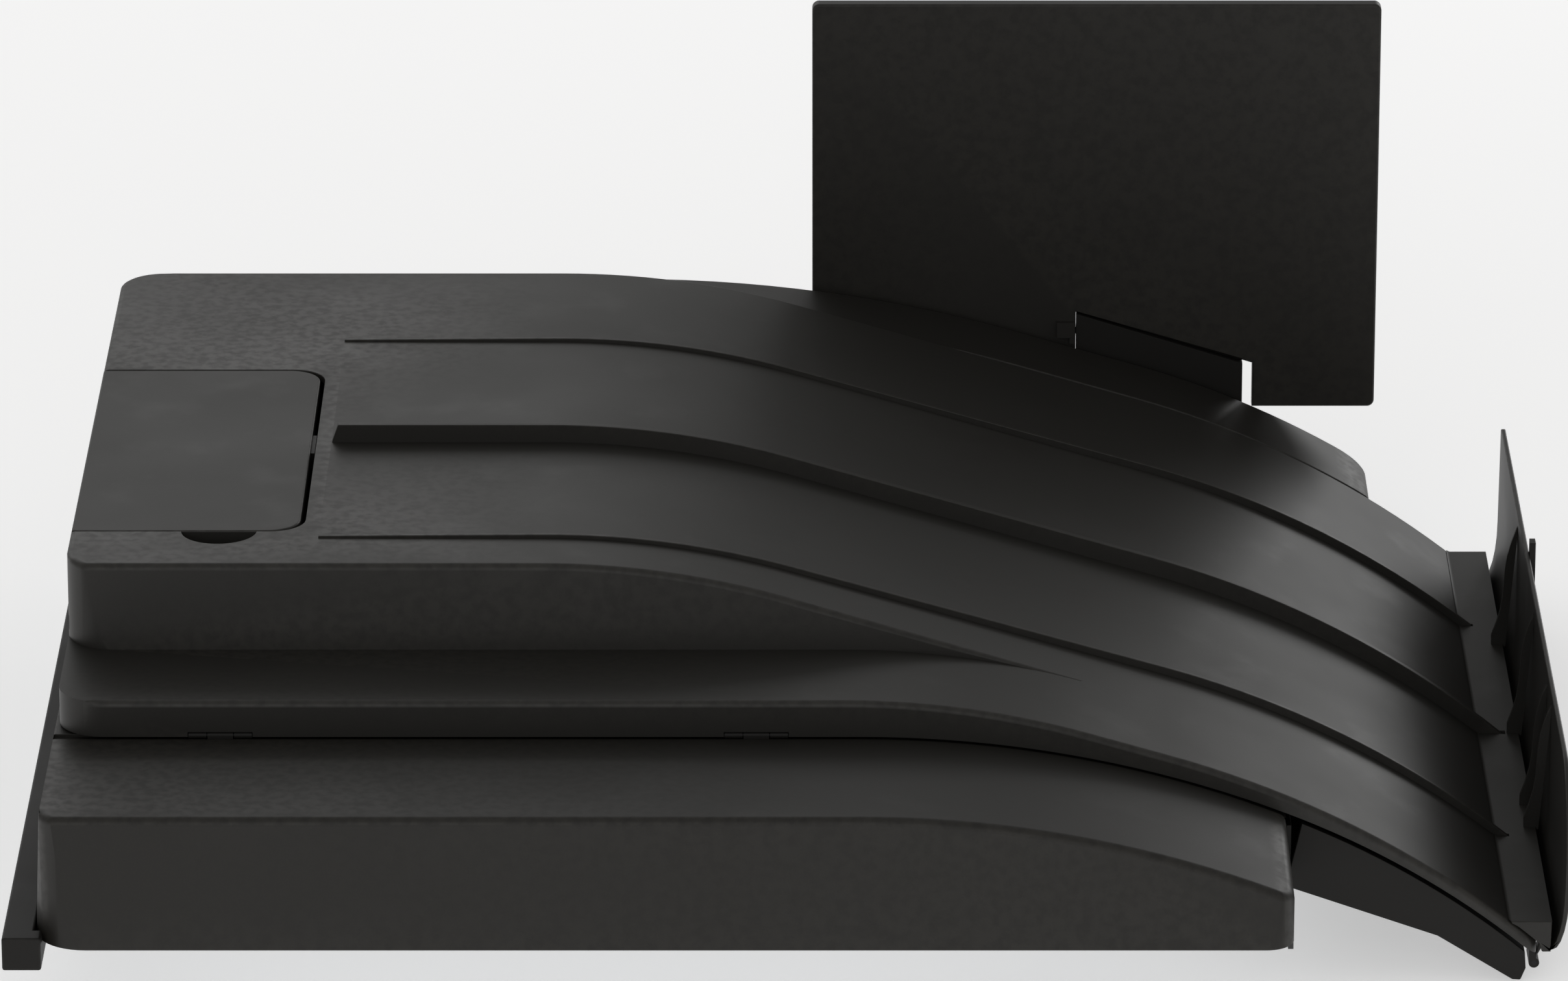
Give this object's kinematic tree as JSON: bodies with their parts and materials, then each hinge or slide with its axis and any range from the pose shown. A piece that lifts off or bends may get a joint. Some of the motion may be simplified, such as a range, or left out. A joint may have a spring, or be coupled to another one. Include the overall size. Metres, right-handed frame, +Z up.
{
  "type": "flatbed scanner with sheet feeder",
  "caption": "Flatbed scanner with a hinged feeder lid, a curved ribbed sheet tray ending in a fold-out stop, and a tilting display behind it.",
  "frame": {"origin": "centre of the base's flat underside", "axes": "+X along the sheet tray towards its stop, +Y towards the operator and the display, +Z up"},
  "size_m": [0.6139, 0.567, 0.2582],
  "materials": {
    "housing": "fine textured dark grey",
    "lid_plastic": "fine textured dark grey",
    "dark_plastic": "black textured",
    "steel_sheet": "zinc plated",
    "steel_pin": "ground",
    "painted_steel": "dark satin paint",
    "clear_glass": "polished",
    "white_plastic": "satin white",
    "foam": "open cell foam",
    "roller_rubber": "matte",
    "bronze": "sintered",
    "board": "solder mask",
    "motor_case": "dark grey",
    "screen": "glossy black",
    "belt": "matte",
    "gear_plastic": "natural acetal",
    "lens_glass": "glossy dark blue"
  },
  "bodies": {
    "base": {"base_shell": "housing", "base_pan": "steel_sheet", "pan_screws": "steel_pin", "platen_glass": "clear_glass", "feed_glass": "clear_glass", "calibration_strip": "white_plastic", "guide_rod": "steel_pin", "rod_holders": "dark_plastic", "slide_rail": "steel_sheet", "drive_motor": "motor_case", "idler_post": "steel_pin", "drive_belt": "belt", "main_board": "board", "carriage_cable": "white_plastic", "dock_socket": "dark_plastic", "left_rail": "dark_plastic", "right_flange": "painted_steel", "tray_bracket": "dark_plastic", "console_shell": "housing", "display_arm": "dark_plastic", "display_pin": "steel_pin", "hinge_blocks": "dark_plastic", "lid_hinge_pins": "steel_pin"},
    "carriage": {"carriage_body": "dark_plastic", "carriage_bushes": "bronze", "sensor_bar": "dark_plastic", "lens_strip": "lens_glass", "lamp_bars": "white_plastic", "belt_clamp": "white_plastic"},
    "motor_pulley": {"motor_pulley": "gear_plastic"},
    "idler_pulley": {"idler_pulley": "gear_plastic"},
    "power_button": {"power_button": "dark_plastic"},
    "lid": {"lid_shell": "lid_plastic", "lid_liner": "dark_plastic", "foam_pad": "foam", "backing_sheet": "white_plastic", "lid_hinge_ears": "dark_plastic", "feeder_frame": "dark_plastic", "sheet_guide": "dark_plastic", "feeder_motor": "motor_case", "stop_lugs": "dark_plastic", "cover_knuckles": "dark_plastic", "cover_pins": "steel_pin", "stop_pin": "steel_pin"},
    "feeder_cover": {"feeder_cover": "lid_plastic", "cover_latch": "dark_plastic"},
    "feed_roller": {"feed_roller": "roller_rubber"},
    "backing_roller": {"backing_roller": "white_plastic"},
    "exit_roller": {"exit_roller": "roller_rubber"},
    "feed_pinch": {"feed_pinch_rollers": "white_plastic"},
    "exit_pinch": {"exit_pinch_rollers": "white_plastic"},
    "idler_gear": {"idler_gear": "gear_plastic"},
    "motor_gear": {"motor_gear": "bronze"},
    "paper_stop": {"paper_stop": "lid_plastic", "stop_tab": "dark_plastic"},
    "display": {"display_back": "housing", "display_bezel": "dark_plastic", "display_screen": "screen", "display_board": "board"}
  },
  "joints": [
    {"name": "lid_hinge", "type": "hinge", "parent": "base", "child": "lid", "pos_m": [0, -0.1879, 0.0537], "axis": [1, 0, 0], "range_deg": [0, 60]},
    {"name": "cover_hinge", "type": "hinge", "parent": "lid", "child": "feeder_cover", "pos_m": [-0.2362, 0, 0.0898], "axis": [0, -1, 0], "range_deg": [0, 75]},
    {"name": "stop_fold", "type": "hinge", "parent": "lid", "child": "paper_stop", "pos_m": [0.3422, 0, -0.0438], "axis": [0, 1, 0], "range_deg": [0, 75]},
    {"name": "display_tilt", "type": "hinge", "parent": "base", "child": "display", "pos_m": [0.17, 0.285, 0.058], "axis": [1, 0, 0], "range_deg": [0, 9]},
    {"name": "carriage_slide", "type": "slide", "parent": "base", "child": "carriage", "axis": [1, 0, 0], "range_m": [0, 0.268]},
    {"name": "motor_pulley_spin", "type": "hinge", "parent": "base", "child": "motor_pulley", "pos_m": [0.12, 0.03, 0.008], "axis": [0, 0, 1], "range_deg": [0, 1970]},
    {"name": "idler_pulley_spin", "type": "hinge", "parent": "base", "child": "idler_pulley", "pos_m": [-0.228, 0.03, 0.008], "axis": [0, 0, 1], "range_deg": [0, 1970]},
    {"name": "power_button_press", "type": "slide", "parent": "base", "child": "power_button", "axis": [0, 0, -1], "range_m": [0, 0.0012], "stiffness_N_per_m": 400, "springref_m": -0.001},
    {"name": "exit_roller_spin", "type": "hinge", "parent": "lid", "child": "exit_roller", "pos_m": [-0.178, 0.026, 0.083], "axis": [0, 1, 0], "continuous": true},
    {"name": "feed_roller_spin", "type": "hinge", "parent": "lid", "child": "feed_roller", "pos_m": [-0.22191, 0.026, 0.08101], "axis": [0, 1, 0], "continuous": true},
    {"name": "backing_roller_spin", "type": "hinge", "parent": "lid", "child": "backing_roller", "pos_m": [-0.20499, 0.026, 0.06157], "axis": [0, 1, 0], "continuous": true},
    {"name": "feed_pinch_spin", "type": "hinge", "parent": "lid", "child": "feed_pinch", "pos_m": [-0.22191, 0.026, 0.06841], "axis": [0, 1, 0], "continuous": true},
    {"name": "exit_pinch_spin", "type": "hinge", "parent": "lid", "child": "exit_pinch", "pos_m": [-0.16881, 0.026, 0.09071], "axis": [0, 1, 0], "continuous": true},
    {"name": "idler_gear_spin", "type": "hinge", "parent": "lid", "child": "idler_gear", "pos_m": [-0.2, 0.026, 0.083], "axis": [0, 1, 0], "continuous": true},
    {"name": "motor_gear_spin", "type": "hinge", "parent": "lid", "child": "motor_gear", "pos_m": [-0.162, 0.026, 0.083], "axis": [0, 1, 0], "continuous": true}
  ],
  "couplings": [
    {"joint": "motor_pulley_spin", "follows": "carriage_slide", "rad_per_m": 126.58},
    {"joint": "idler_pulley_spin", "follows": "carriage_slide", "rad_per_m": 126.58},
    {"joint": "feed_roller_spin", "follows": "exit_roller_spin", "ratio": 1},
    {"joint": "backing_roller_spin", "follows": "exit_roller_spin", "ratio": 1},
    {"joint": "idler_gear_spin", "follows": "exit_roller_spin", "ratio": -0.83333},
    {"joint": "motor_gear_spin", "follows": "exit_roller_spin", "ratio": -1.6667},
    {"joint": "feed_pinch_spin", "follows": "exit_roller_spin", "ratio": -1.46},
    {"joint": "exit_pinch_spin", "follows": "exit_roller_spin", "ratio": -1.925}
  ]
}
